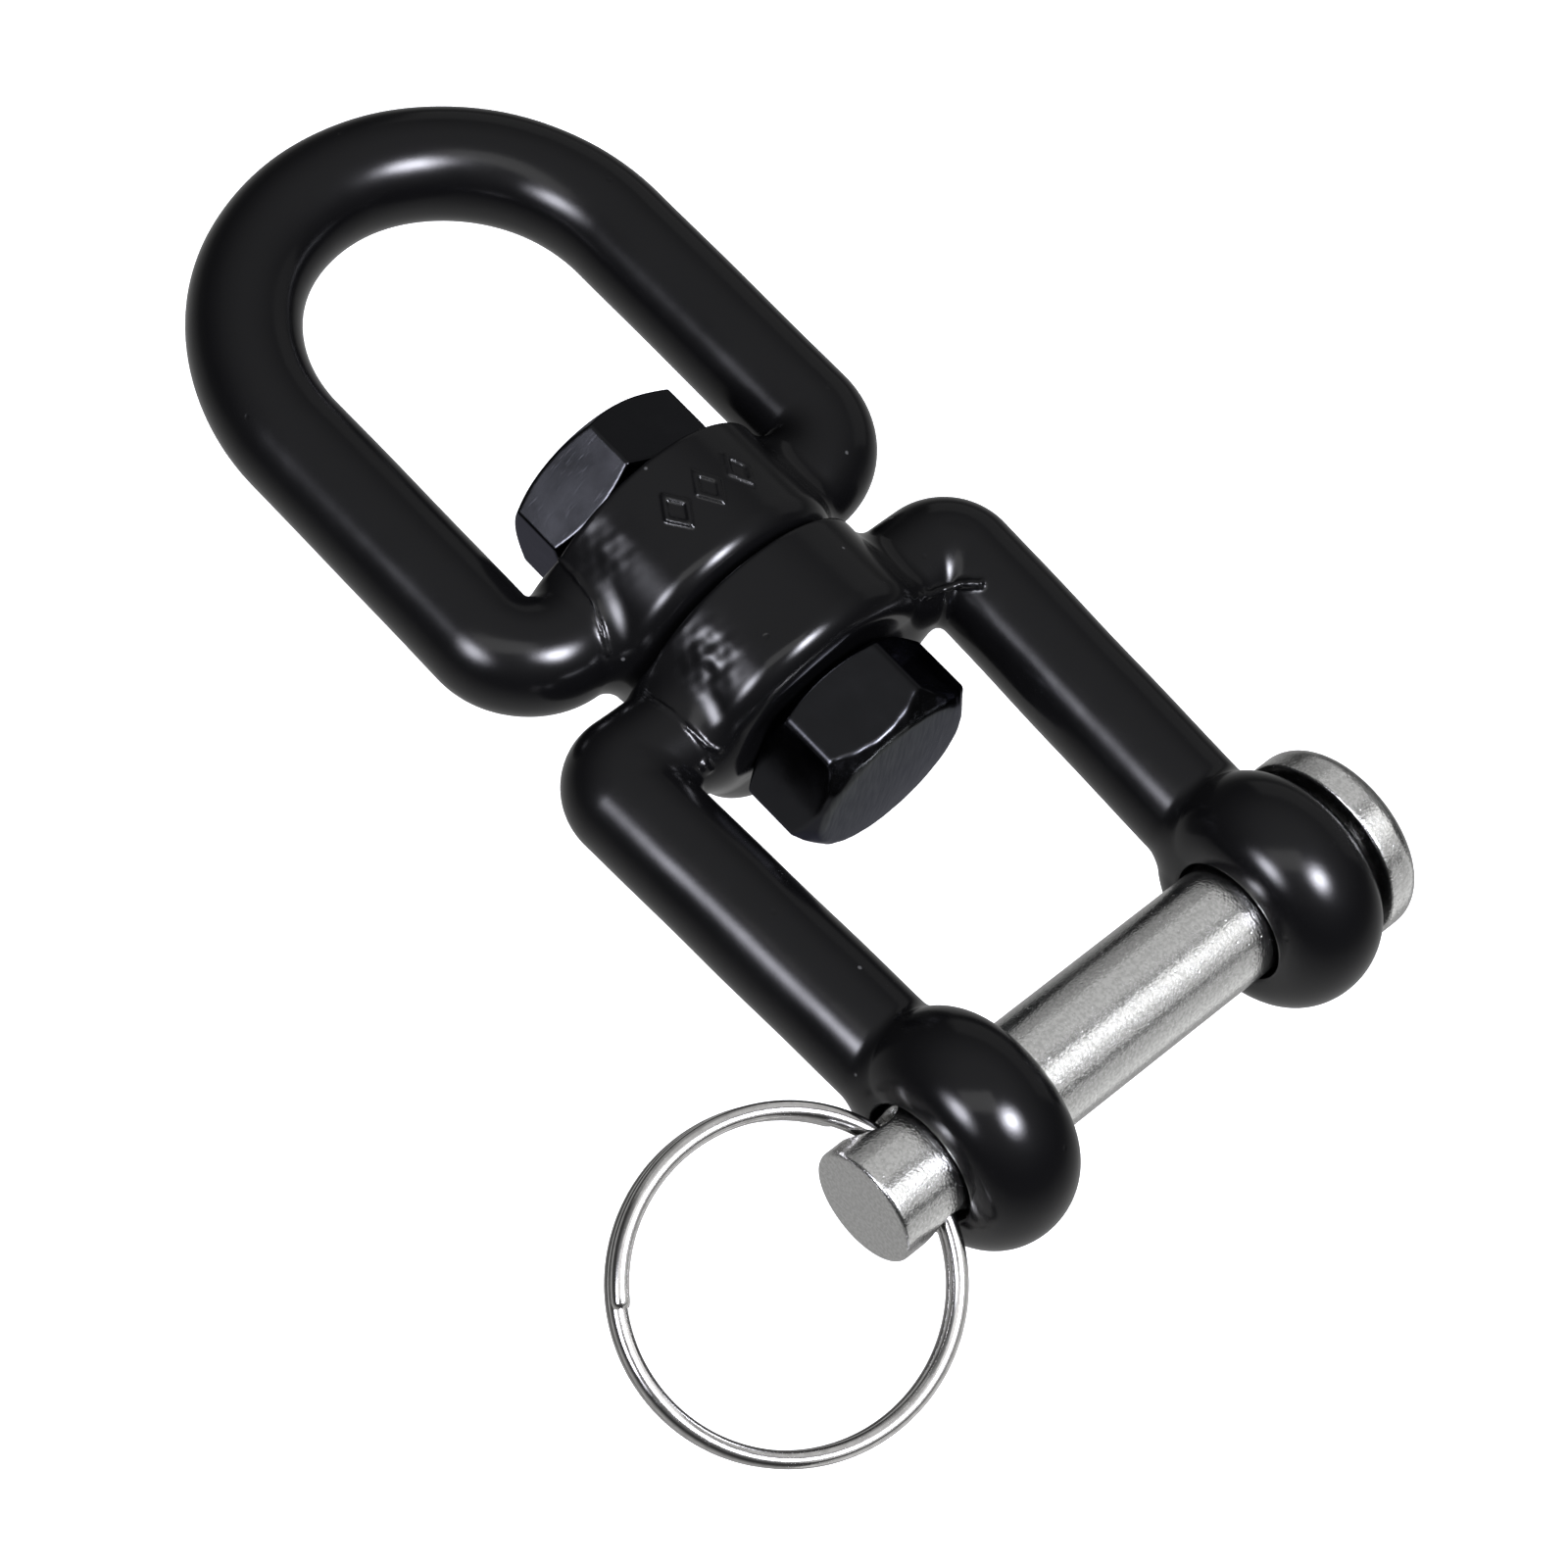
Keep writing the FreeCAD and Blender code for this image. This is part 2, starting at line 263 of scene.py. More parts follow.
def jaw_field(x, y, z):
    c = JAW_CORNER_R
    lean = math.atan((JAW_ARM_Y0 - EAR_Y) / (EAR_X - JAW_SHOULDER_X - c))
    turn = math.radians(90) - lean
    body = boss(x, y, z, JAW_BOSS)
    for side in (-1, 1):
        across = side * y
        shoulder_y = JAW_ARM_Y0 - c
        centre_x = JAW_SHOULDER_X + c
        shoulder = length(x - JAW_SHOULDER_X, across - np.clip(across, BAR_ROOT_Y, shoulder_y))
        dx = x - centre_x
        dy = across - shoulder_y
        round_the_corner = np.arctan2(dy, -dx)
        on_arc = (round_the_corner > 0) & (round_the_corner < turn)
        corner = np.where(on_arc, np.abs(length(dx, dy) - c), 1e3)
        ax = centre_x - c * math.cos(turn)
        ay = shoulder_y + c * math.sin(turn)
        along = (x - ax) * math.cos(lean) - (across - ay) * math.sin(lean)
        reach = (EAR_X - ARM_STOP - ax) / math.cos(lean)
        along = np.clip(along, 0.0, reach)
        nx = ax + along * math.cos(lean)
        ny = ay - along * math.sin(lean)
        straight = length(x - nx, across - ny)
        arm = join(length(shoulder, z) - BAR_R, length(straight, z) - BAR_R, ARM_FILLET)
        arm = np.minimum(arm, length(corner, z) - BAR_R)
        arm = join(arm, ear(x, y, z, side), EAR_FILLET)
        body = join(body, arm, CAST_FILLET)
    body = body + WAVINESS * uneven(x, y, z, 9.0)
    body = roughened(body, x, y, z, JAW_PATCH)
    body = seam(body, x, y, z, JAW_SEAM, SEAM_R)
    body = seam(body, x, y, z, JAW_LUMP, LUMP_R)
    body = seam(body, x, y, z, JAW_LIP, LIP_R)
    body = cut(body, swivel_bore(x, y, z, JAW_BOSS), BORE_EDGE)
    return cut(body, length(x - EAR_X, z) - EAR_BORE_R, EAR_BORE_EDGE)


def hexagon(y, z, turn, rounding):
    """Distance from a hexagon across whose flats the wrench fits."""
    distance = None
    for k in range(6):
        a = math.radians(turn + 30 + 60 * k)
        flat = y * math.cos(a) + z * math.sin(a) - HEX_HALF_AF
        distance = flat if distance is None else meet(distance, flat, rounding)
    return distance


def chamfer_cone(x, rho, x_end, outward, radius, slope):
    """Inside of a cone that meets the end plane at that radius and opens inwards."""
    a = math.radians(slope)
    return ((x - x_end) * outward) * math.cos(a) + (rho - radius) * math.sin(a)


def bolt_field(x, y, z):
    rho = length(y, z)
    x0, x1 = HEAD_X
    head = hexagon(y, z, HEAD_TURN, 0.4)
    head = meet(head, chamfer_cone(x, rho, x0, -1, HEAD_WASHER_R, HEX_CHAMFER), 0.12)
    worn = 0.035 * uneven(x, y, z, 1.7)
    head = meet(head, chamfer_cone(x, rho, x1, 1, HEAD_END_R, HEAD_CHAMFER) + worn, 0.16)
    dome_r = (HEAD_END_R ** 2 + HEAD_DOME ** 2) / (2 * HEAD_DOME)
    dome = length(x - (x1 + HEAD_DOME - dome_r), rho) - dome_r
    head = meet(head, dome, 0.25)
    head = meet(head, x0 - x, 0.1)
    turn = np.arctan2(z, y) / (2 * math.pi)
    phase = np.mod((x - BOLT_END_X) / THREAD_PITCH - turn, 1.0)
    groove = THREAD_DEPTH * (1 - np.abs(2 * phase - 1))
    threaded = np.clip((NUT_X[1] + 2 - x) / THREAD_PITCH, 0.0, 1.0)
    shank = rho - SHANK_R + groove * threaded
    end_r = SHANK_R - BOLT_END_CHAMFER
    shank = meet(shank, chamfer_cone(x, rho, BOLT_END_X, -1, end_r, HEAD_CHAMFER), 0.1)
    shank = meet(shank, BOLT_END_X - x, 0.1)
    shank = np.maximum(shank, x - x0 - 1)
    return join(head, shank, 0.2)


def nut_field(x, y, z):
    rho = length(y, z)
    x0, x1 = NUT_X
    body = hexagon(y, z, NUT_TURN, 0.12)
    body = meet(body, chamfer_cone(x, rho, x0, -1, NUT_END_R, HEX_CHAMFER), 0.1)
    body = meet(body, chamfer_cone(x, rho, x1, 1, NUT_END_R, HEX_CHAMFER), 0.1)
    body = meet(body, x0 - x, 0.12)
    body = meet(body, x - x1, 0.12)
    return cut(body, rho - SHANK_R - 0.05, 0.5)


def pin_field(x, y, z):
    rho = length(x - EAR_X, z)
    y0, y1 = PIN_HEAD_Y
    middle = (PIN_FREE_Y + y0 + 0.5) / 2
    half = (y0 + 0.5 - PIN_FREE_Y) / 2
    shaft = rounded_box(y - middle, rho, half, SHANK_R, 0.3)
    rim = np.where(y > (y0 + y1) / 2, PIN_HEAD_ROUND, 0.25)
    head = rounded_box(y - (y0 + y1) / 2, rho, (y1 - y0) / 2, PIN_HEAD_R, rim)
    body = join(shaft, head, 0.25)
    dip = math.radians(CROSS_HOLE_TURN)
    across = (x - EAR_X) * math.sin(dip) + z * math.cos(dip)
    return cut(body, length(across, y - CROSS_HOLE_Y) - CROSS_HOLE_R, 0.25)


# --- meshing -----------------------------------------------------------------------------------
BLOCK = 32                        # grid points along each side of a block


def sample(field, axes, step):
    """Field values on the grid. A block out of the surface's reach takes its middle's value."""
    values = np.empty([len(axis) for axis in axes], np.float32)
    far = 1.2 * BLOCK * step * math.sqrt(3) / 2
    starts = [range(0, len(axis), BLOCK) for axis in axes]
    for i in starts[0]:
        for j in starts[1]:
            for k in starts[2]:
                part = tuple(slice(n, n + BLOCK) for n in (i, j, k))
                x, y, z = (axis[span] for axis, span in zip(axes, part))
                middle = field(x.mean(), y.mean(), z.mean())
                if abs(middle) > far:
                    values[part] = middle
                else:
                    values[part] = field(x[:, None, None], y[None, :, None], z[None, None, :])
    return values


def settle(field, points, rounds):
    """Moves the points onto the field's zero level."""
    h = 0.004
    for _ in range(rounds):
        here = field(*points.T)
        slope = np.empty_like(points)
        for axis in range(3):
            ahead = points.copy()
            ahead[:, axis] += h
            slope[:, axis] = (field(*ahead.T) - here) / h
        steep = np.maximum((slope * slope).sum(1), 0.05)
        points = points - np.clip(here / steep, -0.2, 0.2)[:, None] * slope
    return points


def relax(points, quads, share):
    """Moves each point part of the way to the middle of its neighbours."""
    pairs = np.concatenate([quads[:, [k, (k + 1) % 4]] for k in range(4)])
    pairs = np.concatenate([pairs, pairs[:, ::-1]])
    count = np.bincount(pairs[:, 0], minlength=len(points)).astype(float)
    mean = np.stack([np.bincount(pairs[:, 0], points[pairs[:, 1], a], len(points))
                     for a in range(3)], axis=1) / count[:, None]
    return points + share * (mean - points)


def surface(field, low, high, step):
    """Quad mesh of the field's zero level: one point per cell that the surface crosses."""
    axes = [np.arange(low[a], high[a] + step, step) for a in range(3)]
    inside = sample(field, axes, step) < 0
    shape = np.array(inside.shape) - 1
    filled = np.zeros(shape, np.int8)
    for di in (0, 1):
        for dj in (0, 1):
            for dk in (0, 1):
                filled += inside[di:di + shape[0], dj:dj + shape[1], dk:dk + shape[2]]
    crossed = (filled > 0) & (filled < 8)
    cells = np.argwhere(crossed)
    number = np.full(shape, -1, np.int64)
    number[crossed] = np.arange(len(cells))
    origin = np.array([axis[0] for axis in axes])
    points = origin + (cells + 0.5) * step
    quads = []
    for a in range(3):
        b = (a + 1) % 3
        c = (a + 2) % 3
        span = [slice(1, n) for n in shape]
        span[a] = slice(0, shape[a])
        ahead = list(span)
        ahead[a] = slice(1, shape[a] + 1)
        here = inside[tuple(span)]
        there = inside[tuple(ahead)]
        for leaving in (True, False):
            at = np.argwhere((here != there) & (here == leaving))
            at[:, b] += 1
            at[:, c] += 1
            ring = []
            for db, dc in ((-1, -1), (0, -1), (0, 0), (-1, 0)):
                cell = at.copy()
                cell[:, b] += db
                cell[:, c] += dc
                ring.append(number[tuple(cell.T)])
            ring = np.stack(ring, axis=1)
            quads.append(ring if leaving else ring[:, ::-1])
    quads = np.concatenate(quads)
    points = settle(field, points, 3)
    for _ in range(4):
        points = settle(field, relax(points, quads, 0.6), 1)
    return settle(field, points, 1), quads


def add_piece(name, points, faces, material):
    mesh = bpy.data.meshes.new(name)
    mesh.from_pydata(points, [], faces)
    mesh.transform(Matrix.Scale(MM, 4))
    mesh.shade_smooth()
    mesh.materials.append(material)
    piece = bpy.data.objects.new(name, mesh)
    bpy.context.scene.collection.objects.link(piece)
    return piece


def field_piece(name, field, node, step, material):
    coarse = 1.0
    low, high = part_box(node)
    margin = 4 * step * coarse
    low = np.array(low) / MM - margin
    high = np.array(high) / MM + margin
    points, quads = surface(field, low, high, step * coarse)
    return add_piece(name, points.tolist(), quads.tolist(), material)


def coil_points(steps):
    """Centreline of the split ring: a flat coil laid into the pin's cross-hole."""
    first_pass = (360.0 - RING_START) / 360.0 * RING_PITCH
    place = Matrix.Translation((EAR_X, CROSS_HOLE_Y, 0.0))
    place @= Matrix.Rotation(math.radians(CROSS_HOLE_TURN), 4, "Y")
    place @= Matrix.Rotation(math.radians(RING_TILT), 4, "X")
    place @= Matrix.Translation((0.0, RING_SIDE, 0.0))
    place @= Matrix.Rotation(math.radians(RING_YAW), 4, "Z")
    place @= Matrix.Translation((0.0, -RING_R, 0.0))
    place @= Matrix.Rotation(math.radians(90.0 + RING_START), 4, "Z")
    place @= Matrix.Translation((0.0, 0.0, -first_pass - RING_PITCH / 2))
    centres = []
    outwards = []
    for k in range(steps + 1):
        share = k / steps
        a = 2 * math.pi * RING_TURNS * share
        outward = Vector((math.cos(a), math.sin(a), 0.0))
        centre = outward * RING_R + Vector((0.0, 0.0, RING_PITCH * RING_TURNS * share))
        centres.append(place @ centre)
        outwards.append((place.to_3x3() @ outward).normalized())
    return centres, outwards


def wire_coil(name, material):
    """Round wire along the coil, cut off at both ends with a slightly broken edge."""
    steps = 420
    sides = 20
    centres, outwards = coil_points(steps)
    points = []
    for k in range(steps + 1):
        along = (centres[min(k + 1, steps)] - centres[max(k - 1, 0)]).normalized()
        outward = outwards[k]
        up = along.cross(outward)
        radius = RING_WIRE_R * (0.84 if k in (0, steps) else 1.0)
        for j in range(sides):
            b = 2 * math.pi * j / sides
            points.append(centres[k] + radius * (math.cos(b) * outward + math.sin(b) * up))
    faces = []
    for k in range(steps):
        for j in range(sides):
            a = k * sides + j
            b = k * sides + (j + 1) % sides
            faces.append((a, b, b + sides, a + sides))
    faces.append(tuple(range(sides - 1, -1, -1)))
    faces.append(tuple(range(steps * sides, (steps + 1) * sides)))
    return add_piece(name, points, faces, material)


# --- materials ---------------------------------------------------------------------------------
COAT_BLACK = (0.004, 0.004, 0.0044)
DUST_GREY = (0.1, 0.1, 0.1)
FASTENER_BLACK = (0.052, 0.053, 0.058)
# painted reflection: lighter colours for the bolt head's end face, standing in for the brightness of
# what it reflects
PAINTED_REFLECTION_DARK = (0.08, 0.085, 0.088)
PAINTED_REFLECTION_PALE = (0.24, 0.25, 0.25)
STEEL_PALE = (0.74, 0.74, 0.73)
STEEL_GREY = (0.61, 0.61, 0.60)
WIRE_PALE = (0.72, 0.71, 0.70)
WIRE_GREY = (0.55, 0.54, 0.53)


def new_material(name, colour, metallic, roughness):
    material = bpy.data.materials.new(name)
    material.use_nodes = True
    shader = material.node_tree.nodes["Principled BSDF"]
    shader.inputs["Base Color"].default_value = (*colour, 1.0)
    shader.inputs["Metallic"].default_value = metallic
    shader.inputs["Roughness"].default_value = roughness
    return material, shader


def add_node(material, kind, **values):
    node = material.node_tree.nodes.new(kind)
    for key, value in values.items():
        if hasattr(node, key):
            setattr(node, key, value)
        else:
            node.inputs[key.replace("_", " ")].default_value = value
    return node


def link(material, source, target):
    material.node_tree.links.new(source, target)


def noise(material, scale, detail, stretch=(1.0, 1.0, 1.0)):
    """Noise fixed to the piece, with that many features to the metre."""
    place = add_node(material, "ShaderNodeTexCoord")
    mapping = add_node(material, "ShaderNodeMapping", Scale=stretch)
    texture = add_node(material, "ShaderNodeTexNoise", Scale=scale, Detail=detail)
    link(material, place.outputs["Object"], mapping.inputs["Vector"])
    link(material, mapping.outputs["Vector"], texture.inputs["Vector"])
    return texture.outputs["Fac"]


def remap(material, source, low, high, to_low, to_high):
    node = add_node(material, "ShaderNodeMapRange", From_Min=low, From_Max=high,
                    To_Min=to_low, To_Max=to_high)
    link(material, source, node.inputs["Value"])
    return node.outputs["Result"]


def specks(material, scale, radius, rarity):
    """1 inside small scattered dots and 0 elsewhere. rarity is the share of cells with no dot."""
    place = add_node(material, "ShaderNodeTexCoord")
    cells = add_node(material, "ShaderNodeTexVoronoi", Scale=scale)
    link(material, place.outputs["Object"], cells.inputs["Vector"])
    dot = remap(material, cells.outputs["Distance"], radius * 0.5, radius, 1.0, 0.0)
    pick = add_node(material, "ShaderNodeSeparateColor")
    link(material, cells.outputs["Color"], pick.inputs["Color"])
    chosen = add_node(material, "ShaderNodeMath", operation="GREATER_THAN")
    chosen.inputs[1].default_value = rarity
    link(material, pick.outputs["Red"], chosen.inputs[0])
    both = add_node(material, "ShaderNodeMath", operation="MULTIPLY")
    link(material, dot, both.inputs[0])
    link(material, chosen.outputs["Value"], both.inputs[1])
    return both.outputs["Value"]


def add_bumps(material, shader, layers):
    """Bumps one over the other. Each layer is a height and what 1 of it is in metres."""
    normal = None
    for height, distance in layers:
        bump = add_node(material, "ShaderNodeBump", Strength=1.0, Distance=distance)
        link(material, height, bump.inputs["Height"])
        if normal:
            link(material, normal, bump.inputs["Normal"])
        normal = bump.outputs["Normal"]
    link(material, normal, shader.inputs["Normal"])


def mix_colour(material, amount, first, second):
    """Blend of two colours. The second is a colour or another node's output."""
    mix = add_node(material, "ShaderNodeMix", data_type="RGBA")
    colours = [socket for socket in mix.inputs if socket.type == "RGBA"]
    colours[0].default_value = (*first, 1.0)
    if isinstance(second, tuple):
        colours[1].default_value = (*second, 1.0)
    else:
        link(material, second, colours[1])
    link(material, amount, mix.inputs["Factor"])
    return [socket for socket in mix.outputs if socket.type == "RGBA"][0]


def black_coat():
    """Glossy black paint over a casting: orange peel, fine grain, dust specks and small craters."""
    material, shader = new_material("black_coat", COAT_BLACK, 0.0, 0.2)
    dust = specks(material, 420.0, 0.07, 0.82)
    link(material, mix_colour(material, dust, COAT_BLACK, DUST_GREY), shader.inputs["Base Color"])
    patchy = noise(material, 160.0, 3.0)
    link(material, remap(material, patchy, 0.3, 0.7, 0.16, 0.24), shader.inputs["Roughness"])
    craters = specks(material, 520.0, 0.12, 0.9)
    add_bumps(material, shader, [
        (noise(material, 420.0, 1.0), 1.6e-5),
        (noise(material, 3200.0, 2.0), 1.5e-6),
        (craters, -2.0e-5),
    ])
    return material


def end_of_head(material):
    """1 on the bolt head's end face and 0 behind it."""
    place = add_node(material, "ShaderNodeTexCoord")
    parts = add_node(material, "ShaderNodeSeparateXYZ")
    link(material, place.outputs["Object"], parts.inputs["Vector"])
    face = HEAD_X[1] * MM
    return remap(material, parts.outputs["X"], face - 0.3 * MM, face, 0.0, 1.0)


def dark_fastener():
    """Blackened steel: a dark mirror with scratches. The bolt head's end face carries a painted
    reflection: it is coloured lighter, in streaks, to look as bright as what it reflects.
    """
    material, shader = new_material("dark_fastener", FASTENER_BLACK, 1.0, 0.2)
    shader.inputs["Specular Tint"].default_value = (0.45, 0.45, 0.5, 1.0)
    # painted reflection: the bolt head's end face gets a lighter, streaky colour than the rest of the
    # fastener
    streaks = noise(material, 900.0, 5.0, (1.0, 5.0, 0.6))
    painted_reflection = mix_colour(material, streaks, PAINTED_REFLECTION_DARK, PAINTED_REFLECTION_PALE)
    link(material, mix_colour(material, end_of_head(material), FASTENER_BLACK, painted_reflection),
         shader.inputs["Base Color"])
    dull = noise(material, 500.0, 4.0)
    link(material, remap(material, dull, 0.3, 0.7, 0.14, 0.26), shader.inputs["Roughness"])
    scratches = noise(material, 700.0, 3.0, (9.0, 1.0, 1.3))
    add_bumps(material, shader, [
        (noise(material, 420.0, 1.0), 5.0e-6),
        (remap(material, scratches, 0.62, 0.7, 0.0, 1.0), -1.5e-6),
        (noise(material, 4000.0, 2.0), 8.0e-7),
    ])
    return material


def bright_steel():
    """Barrelled stainless steel: frosted, with a fine orange peel and small pits."""
    material, shader = new_material("bright_steel", STEEL_PALE, 1.0, 0.18)
    frosting = remap(material, noise(material, 4200.0, 4.0), 0.4, 0.62, 0.0, 1.0)
    link(material, mix_colour(material, frosting, STEEL_PALE, STEEL_GREY), shader.inputs["Base Color"])
    dull = noise(material, 1500.0, 4.0)
    link(material, remap(material, dull, 0.3, 0.7, 0.13, 0.23), shader.inputs["Roughness"])
    add_bumps(material, shader, [
        (noise(material, 1500.0, 2.0), 6.0e-6),
        (noise(material, 6000.0, 2.0), 2.0e-5),
        (specks(material, 2200.0, 0.22, 0.65), -1.4e-5),
    ])
    return material


def ring_wire():
    """Drawn and polished stainless wire with faint die lines and handling scuffs."""
    material, shader = new_material("ring_wire", WIRE_PALE, 1.0, 0.16)
    scuffs = noise(material, 1400.0, 5.0)
    scuffed = remap(material, scuffs, 0.4, 0.75, 0.0, 1.0)
    link(material, mix_colour(material, scuffed, WIRE_PALE, WIRE_GREY), shader.inputs["Base Color"])
    link(material, remap(material, scuffs, 0.3, 0.7, 0.1, 0.22), shader.inputs["Roughness"])
    add_bumps(material, shader, [
        (noise(material, 900.0, 2.0), 1.2e-5),
        (noise(material, 5000.0, 2.0), 1.5e-6),
    ])
    return material


# --- pieces ------------------------------------------------------------------------------------
coat = black_coat()
dark = dark_fastener()
bright = bright_steel()
wire = ring_wire()

CASTING_STEP = 0.16
FASTENER_STEP = 0.12

pieces = [
    # piece, node, body, slot
    (field_piece("eye_casting", eye_field, "eye", CASTING_STEP, coat), "eye", "eye", "black_coating"),
    (field_piece("jaw_casting", jaw_field, "jaw", CASTING_STEP, coat), "jaw", "jaw", "black_coating"),
    (field_piece("hex_bolt", bolt_field, "swivel_bolt", FASTENER_STEP, dark),
     "swivel_bolt", "bolt", "dark_fastener"),
    (field_piece("hex_nut", nut_field, "swivel_nut", FASTENER_STEP, dark),
     "swivel_nut", "bolt", "dark_fastener"),
    (field_piece("headed_pin", pin_field, "clevis_pin", CASTING_STEP, bright),
     "clevis_pin", "pin", "bright_steel"),
    (wire_coil("wire_ring", wire), "split_ring", "ring", "ring_wire"),
]
for piece, node, body, slot in pieces:
    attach(piece, body)
    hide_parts(node)


# --- stage, lights and camera ------------------------------------------------------------------
CAMERA_AZ = 32.470
CAMERA_EL = 58.297
CAMERA_ROLL = 17.272
CAMERA_RANGE = 315.91
CAMERA_LENS = 114.64
CAMERA_TARGET = Vector((38.386, -5.992, 0.0))
LIGHT_RANGE = 0.8                 # metres from the part to every panel
FLOOR_DROP = 0.045                # the floor clears the jaw and the ring in every pose
FLOOR_R = 1.6
WALL_RISE = 1.6
WALL_R = 1.9
SOFTBOX_TINT = (0.94, 0.95, 1.06)
SOFTBOX_STEPS = ((1.0, 0.12), (0.7, 0.5), (0.42, 1.0))      # size and level of each ellipse


def camera_axes():
    a = math.radians(CAMERA_AZ)
    e = math.radians(CAMERA_EL)
    r = math.radians(CAMERA_ROLL)
    back = Vector((math.sin(a) * math.cos(e), -math.cos(a) * math.cos(e), math.sin(e)))
    level = Vector((math.cos(a), math.sin(a), 0.0))
    upright = back.cross(level)
    right = math.cos(r) * level + math.sin(r) * upright
    up = -math.sin(r) * level + math.cos(r) * upright
    return right, up, back


def add_camera():
    data = bpy.data.cameras.new("camera")
    data.lens = CAMERA_LENS
    data.sensor_width = 36.0
    data.clip_start = 0.01
    camera = bpy.data.objects.new("camera", data)
    right, up, back = camera_axes()
    place = (CAMERA_TARGET + back * CAMERA_RANGE) * MM
    turn = Matrix((right, up, back)).transposed().to_4x4()
    camera.matrix_world = Matrix.Translation(place) @ turn
    bpy.context.scene.collection.objects.link(camera)
    bpy.context.scene.camera = camera


def add_backdrop():
    """White floor with a white wall round it: seen by the camera, left out of the reflections."""
    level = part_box("jaw")[0].z - FLOOR_DROP
    sides = 64
    profile = [(FLOOR_R, level), (WALL_R, level + 0.1), (WALL_R, level + WALL_RISE)]
    points = [(0.0, 0.0, level)]
    for reach, height in profile:
        for j in range(sides):
            a = 2 * math.pi * j / sides
            points.append((reach * math.cos(a), reach * math.sin(a), height))
    faces = []
    for j in range(sides):
        after = (j + 1) % sides
        faces.append((0, 1 + j, 1 + after))
        for k in range(len(profile) - 1):
            start = 1 + k * sides
            faces.append((start + j, start + sides + j, start + sides + after, start + after))
    mesh = bpy.data.meshes.new("floor")
    mesh.from_pydata(points, [], faces)
    material, shader = new_material("floor_white", (0.8, 0.8, 0.8), 0.0, 1.0)
    shader.inputs["Specular IOR Level"].default_value = 0.0
    shader.inputs["Emission Color"].default_value = (1.0, 1.0, 1.0, 1.0)
    shader.inputs["Emission Strength"].default_value = 0.95
    mesh.materials.append(material)
    floor = bpy.data.objects.new("floor", mesh)
    floor.visible_glossy = False
    floor.visible_diffuse = False
    floor.visible_shadow = False
    bpy.context.scene.collection.objects.link(floor)


def aim_panel(name, toward, sideways, width, height, radiance, shape="RECTANGLE"):
    """Soft light in that direction. Its width is along sideways, and both its sizes are in degrees."""
    toward = toward.normalized()
    sideways = (sideways - sideways.dot(toward) * toward).normalized()
    data = bpy.data.lights.new(name, "AREA")
    data.shape = shape
    data.size = 2 * LIGHT_RANGE * math.tan(math.radians(width / 2))
    data.size_y = 2 * LIGHT_RANGE * math.tan(math.radians(height / 2))
    filled = math.pi / 4 if shape == "ELLIPSE" else 1.0
    data.energy = radiance * math.pi * data.size * data.size_y * filled
    light = bpy.data.objects.new(name, data)
    turn = Matrix((sideways, toward.cross(sideways), toward)).transposed().to_4x4()
    light.matrix_world = Matrix.Translation(CAMERA_TARGET * MM + toward * LIGHT_RANGE) @ turn
    light.visible_camera = False
    bpy.context.scene.collection.objects.link(light)
    return light


def add_panel(name, azimuth, elevation, width, height, radiance, shape="RECTANGLE"):
    a = math.radians(azimuth)
    e = math.radians(elevation)
    toward = Vector((math.cos(a) * math.cos(e), math.sin(a) * math.cos(e), math.sin(e)))
    sideways = toward.cross(Vector((0, 0, 1)))
    return aim_panel(name, toward, sideways, width, height, radiance, shape)


def add_softbox(name, azimuth, elevation, width, height, radiance):
    """Round-edged light that fades from its middle: ellipses one in front of the other."""
    for number, (size, level) in enumerate(SOFTBOX_STEPS):
        light = add_panel("%s_%d" % (name, number), azimuth, elevation, width * size,
                          height * size, radiance * level, "ELLIPSE")
        light.location *= 1 - 0.01 * number
        light.data.color = SOFTBOX_TINT


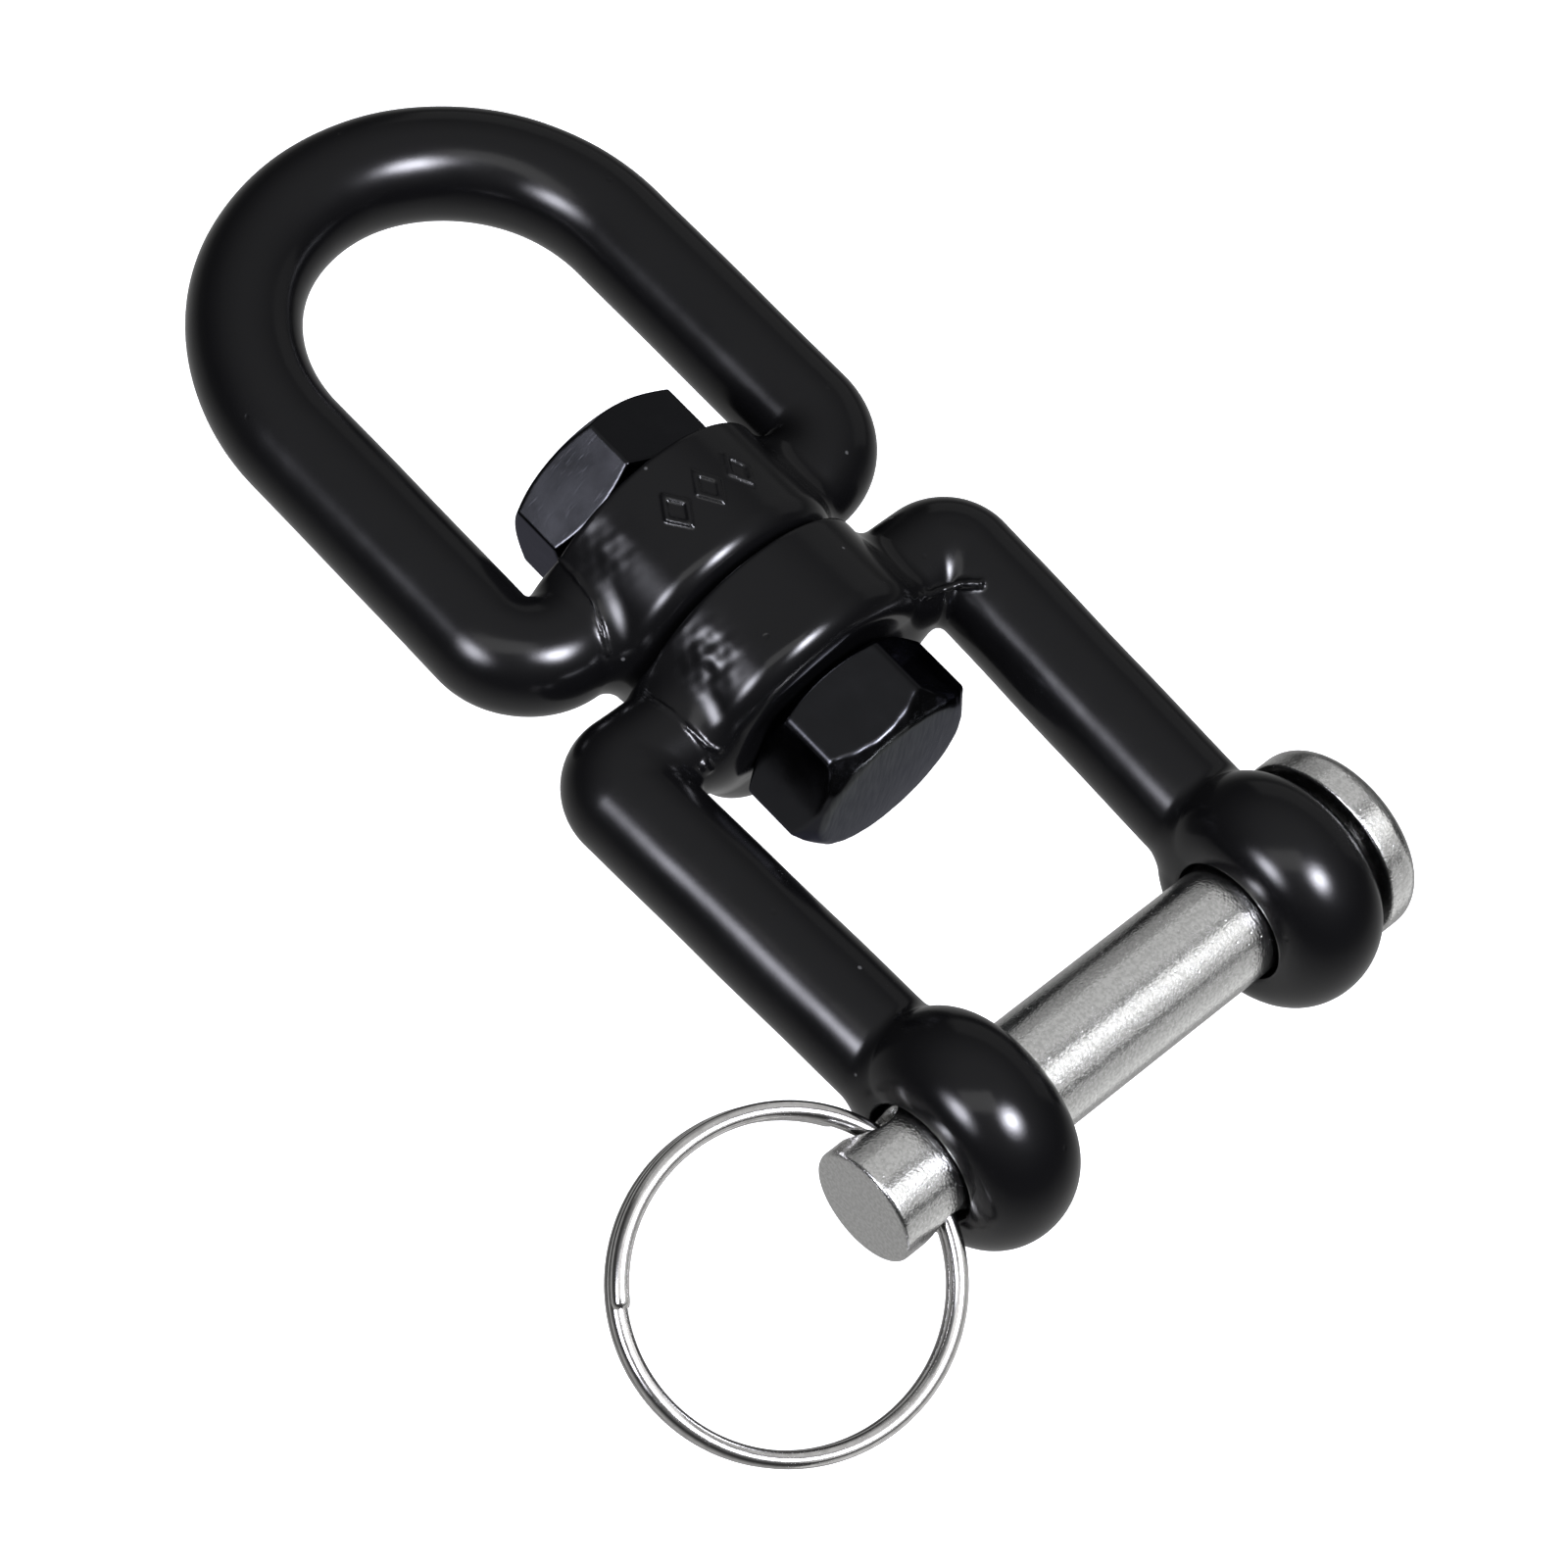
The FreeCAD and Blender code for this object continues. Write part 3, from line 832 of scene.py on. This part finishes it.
def add_metal_strips(receivers):
    """Long panels along the pin that only the bright metal sees. The coat would grey under them."""
    only = bpy.data.collections.new("bright_metal")
    for piece in receivers:
        only.objects.link(piece)
    strips = [
        # degrees round the pin, from overhead towards the jaw's open end, and radiance
        (-86.0, -45.0, 0.22),
        (-45.0, 2.0, 0.36),
        (19.0, 47.0, 0.95),
        (50.0, 70.0, 0.55),
        (84.0, 140.0, 0.5),
    ]
    for number, (start, end, radiance) in enumerate(strips):
        middle = math.radians((start + end) / 2)
        toward = Vector((math.sin(middle), 0.35, math.cos(middle)))
        strip = aim_panel("strip_%d" % number, toward, Vector((0, 1, 0)), 80.0, end - start, radiance)
        strip.light_linking.receiver_collection = only


def add_world():
    """Dim studio: grey above, a paler ground below, dark near the horizon."""
    world = bpy.data.worlds.new("world")
    world.use_nodes = True
    tree = world.node_tree
    place = tree.nodes.new("ShaderNodeTexCoord")
    parts = tree.nodes.new("ShaderNodeSeparateXYZ")
    height = tree.nodes.new("ShaderNodeMapRange")
    height.inputs["From Min"].default_value = -1.0
    ramp = tree.nodes.new("ShaderNodeValToRGB")
    levels = [(0.0, 0.40), (0.14, 0.38), (0.34, 0.15), (0.42, 0.05), (0.56, 0.03), (0.70, 0.08),
              (0.86, 0.20), (0.94, 0.27), (1.0, 0.28)]
    ramp.color_ramp.elements.remove(ramp.color_ramp.elements[1])
    for k, (at, level) in enumerate(levels):
        stop = ramp.color_ramp.elements[0] if k == 0 else ramp.color_ramp.elements.new(at)
        stop.position = at
        stop.color = (level, level, level, 1.0)
    background = tree.nodes["Background"]
    tree.links.new(place.outputs["Generated"], parts.inputs["Vector"])
    tree.links.new(parts.outputs["Z"], height.inputs["Value"])
    tree.links.new(height.outputs["Result"], ramp.inputs["Fac"])
    tree.links.new(ramp.outputs["Color"], background.inputs["Color"])
    bpy.context.scene.world = world


add_camera()
add_backdrop()
add_world()
add_softbox("side_softbox", -93, 32, 39, 34, 10.0)
add_softbox("end_softbox", 0, 56, 35, 31, 21.0)
aim_panel("top_reflector", Vector((0.08, -0.34, 0.85)), Vector((0.335, 0.6, 0.22)), 43, 21, 0.8)
add_panel("far_wall", 107, 12, 70, 30, 0.14)
bright_metal = [piece for piece, _, _, slot in pieces if slot in ("bright_steel", "ring_wire")]
add_metal_strips(bright_metal)
bpy.context.scene.view_settings.view_transform = "Standard"
